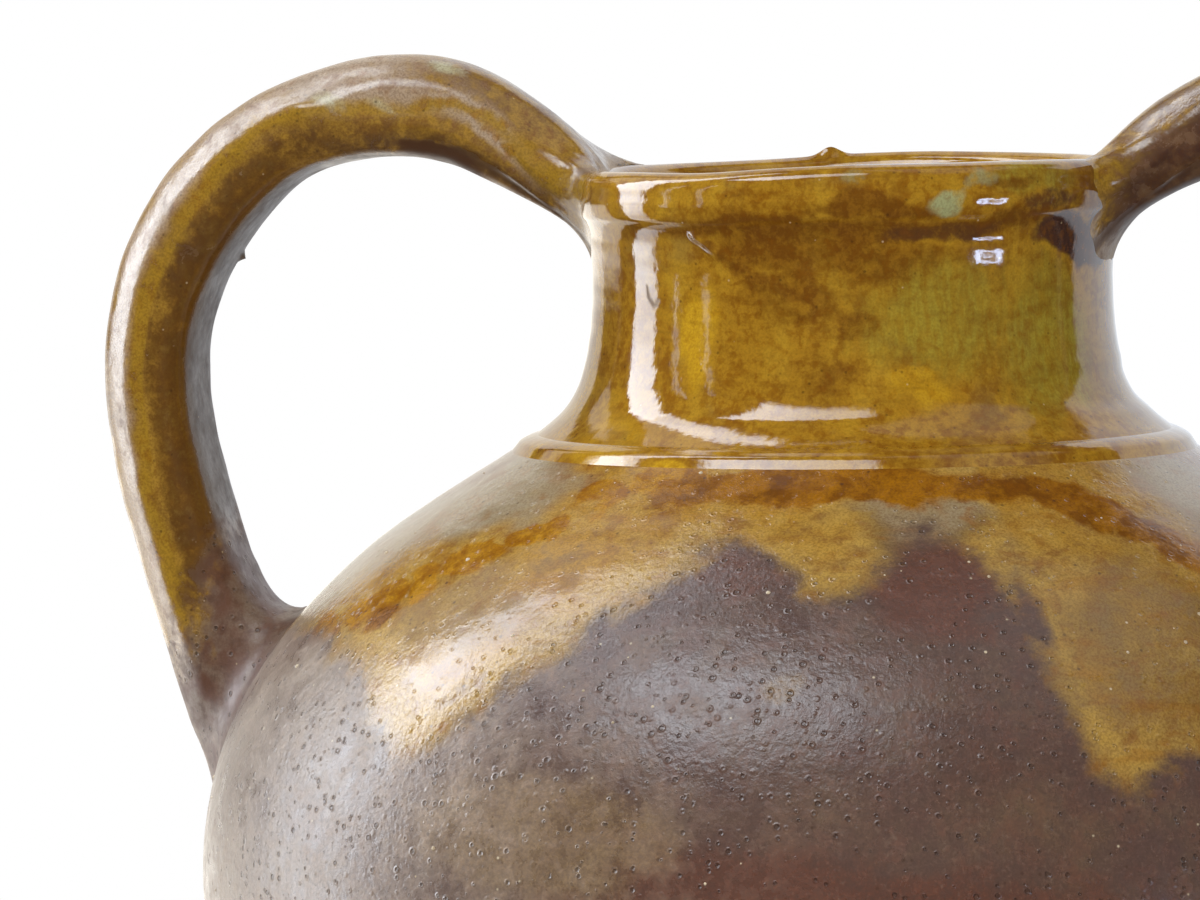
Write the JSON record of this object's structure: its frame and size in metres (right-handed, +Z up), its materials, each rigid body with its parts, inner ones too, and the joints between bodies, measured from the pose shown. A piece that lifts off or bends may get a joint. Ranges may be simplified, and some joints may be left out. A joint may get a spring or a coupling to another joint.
{
  "type": "two-handled pitcher",
  "caption": "Glazed earthenware pitcher: a round belly, short neck with a rolled rim, and a strap handle on each side from rim to shoulder, for holding and pouring liquids.",
  "frame": {"origin": "middle of the underside, on the surface that the pitcher stands on", "axes": "+Z up along the axis of turning; the two handles lie in the XZ plane, right_handle on +X"},
  "size_m": [0.329, 0.2816, 0.3337],
  "materials": {
    "bare_clay": "bare fired clay, matt, worn where it stands",
    "brown_skin": "thin purple-brown glaze, satin, with burst blisters and grit",
    "ochre_glaze": "golden ochre lead glaze in runs, glossy",
    "olive_glaze": "olive lead glaze, glossy",
    "amber_glaze": "pooled amber-brown lead glaze, glossy",
    "brown_glaze": "brown and ochre lead glaze, glossy",
    "thin_glaze": "thin grey-beige glaze, satin"
  },
  "bodies": {
    "root": {"base_disc": "bare_clay", "belly_bowl": "brown_skin", "shoulder": "ochre_glaze", "neck_collar": "olive_glaze", "neck_cordon": "amber_glaze", "rim_roll": "amber_glaze", "left_handle": "brown_glaze", "right_handle": "brown_glaze", "left_upper_wad": "brown_glaze", "right_upper_wad": "brown_glaze", "left_lower_wad": "thin_glaze", "right_lower_wad": "thin_glaze"}
  },
  "joints": []
}
